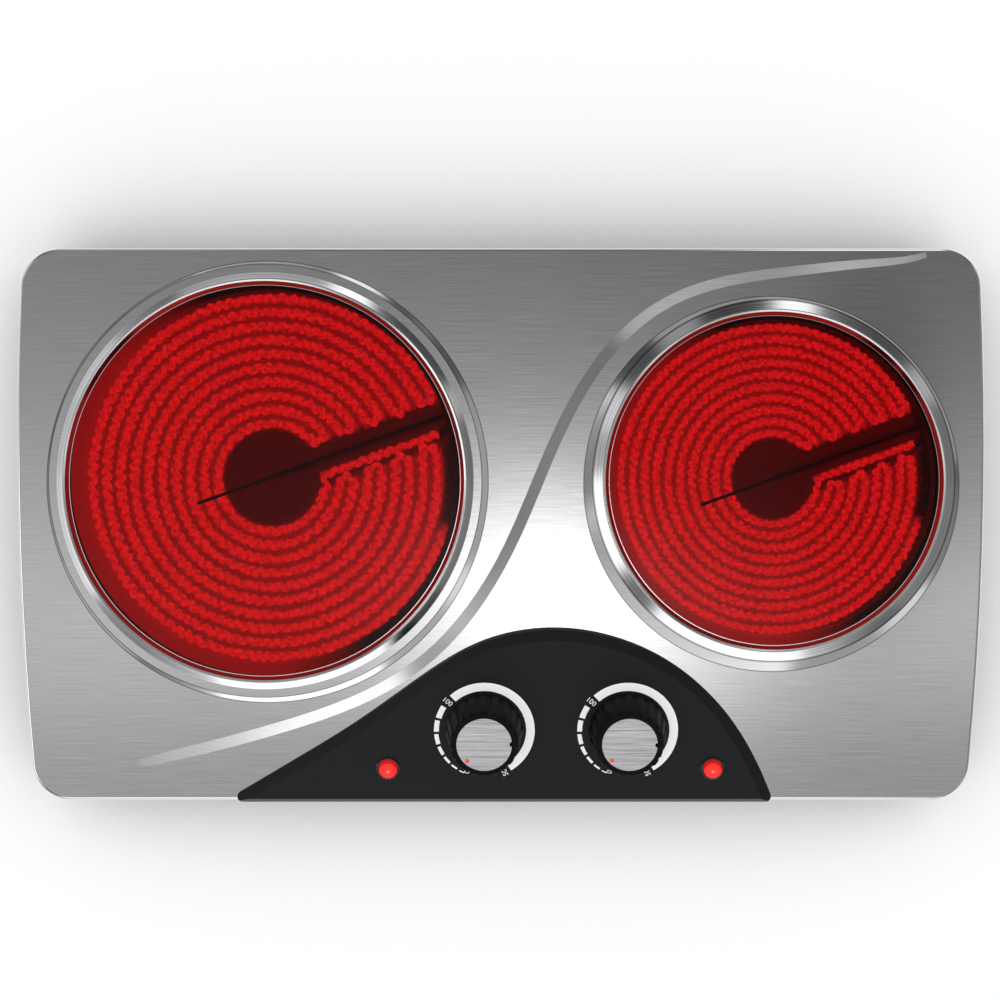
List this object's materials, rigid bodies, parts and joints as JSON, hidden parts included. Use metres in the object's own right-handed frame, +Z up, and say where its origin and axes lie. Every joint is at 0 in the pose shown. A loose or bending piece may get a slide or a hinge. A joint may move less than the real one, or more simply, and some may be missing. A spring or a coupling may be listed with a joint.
{
  "type": "double infrared hot plate",
  "caption": "Table-top radiant hot plate: bowed brushed-steel plate, large and small glass burners in polished rings, sloping black half-moon console with turning dials.",
  "frame": {"origin": "on the table, under the middle of the outer box", "axes": "+X to the right along the long side, +Y to the back, +Z up"},
  "size_m": [0.4454, 0.2556, 0.087],
  "materials": {
    "brushed_plate": "lengthwise brushed stainless steel",
    "polished_ring": "polished stainless steel",
    "pan_paint": "black powder coat",
    "black_rubber": "matte",
    "console_plastic": "fine grain",
    "knob_plastic": "satin",
    "cap_aluminium": "lengthwise brushed",
    "pointer_orange": "gloss",
    "lamp_red": "clear tinted",
    "black_nylon": "matte",
    "heat_glass": "clear tinted",
    "insulation": "pressed fibre",
    "element_alloy": "glowing ribbon",
    "limiter_steel": "heat darkened",
    "steatite": "unglazed",
    "terminal_brass": "plain",
    "wire_sleeve": "silicone sleeve",
    "zinc_steel": "zinc plated"
  },
  "bodies": {
    "housing": {"back_left_foot": "black_rubber", "back_right_foot": "black_rubber", "base_pan": "pan_paint", "console_screws": "zinc_steel", "control_console": "console_plastic", "cord_gland": "black_nylon", "earth_wire": "wire_sleeve", "front_left_foot": "black_rubber", "front_right_foot": "black_rubber", "heat_shield": "zinc_steel", "lamp_wires": "wire_sleeve", "left_glass_disc": "heat_glass", "left_glass_seal": "black_rubber", "left_heater_dish": "zinc_steel", "left_heater_spring": "zinc_steel", "left_heater_strap": "zinc_steel", "left_heater_terminals": "terminal_brass", "left_heater_wires": "wire_sleeve", "left_heating_element": "element_alloy", "left_insulation_base": "insulation", "left_insulation_rim": "insulation", "left_lamp_body": "black_nylon", "left_lamp_lens": "lamp_red", "left_limiter_head": "steatite", "left_limiter_rod": "limiter_steel", "left_thermostat": "steatite", "left_trim_ring": "polished_ring", "live_wires": "wire_sleeve", "pan_screws": "zinc_steel", "right_glass_disc": "heat_glass", "right_glass_seal": "black_rubber", "right_heater_dish": "zinc_steel", "right_heater_spring": "zinc_steel", "right_heater_strap": "zinc_steel", "right_heater_terminals": "terminal_brass", "right_heater_wires": "wire_sleeve", "right_heating_element": "element_alloy", "right_insulation_base": "insulation", "right_insulation_rim": "insulation", "right_lamp_body": "black_nylon", "right_lamp_lens": "lamp_red", "right_limiter_head": "steatite", "right_limiter_rod": "limiter_steel", "right_thermostat": "steatite", "right_trim_ring": "polished_ring", "skirt_brackets": "zinc_steel", "terminal_block": "steatite", "thermostat_screws": "zinc_steel", "top_shell": "brushed_plate"},
    "left_dial": {"left_knob": "knob_plastic", "left_knob_cap": "cap_aluminium", "left_knob_pointer": "pointer_orange", "left_shaft": "zinc_steel"},
    "right_dial": {"right_knob": "knob_plastic", "right_knob_cap": "cap_aluminium", "right_knob_pointer": "pointer_orange", "right_shaft": "zinc_steel"}
  },
  "joints": [
    {"name": "left_dial_turn", "type": "hinge", "parent": "housing", "child": "left_dial", "pos_m": [-0.0075, -0.09395, 0.06608], "axis": [0, 0.2588, -0.9659], "range_deg": [-20, 290]},
    {"name": "right_dial_turn", "type": "hinge", "parent": "housing", "child": "right_dial", "pos_m": [0.0576, -0.09395, 0.06608], "axis": [0, 0.2588, -0.9659], "range_deg": [-22, 288]}
  ]
}
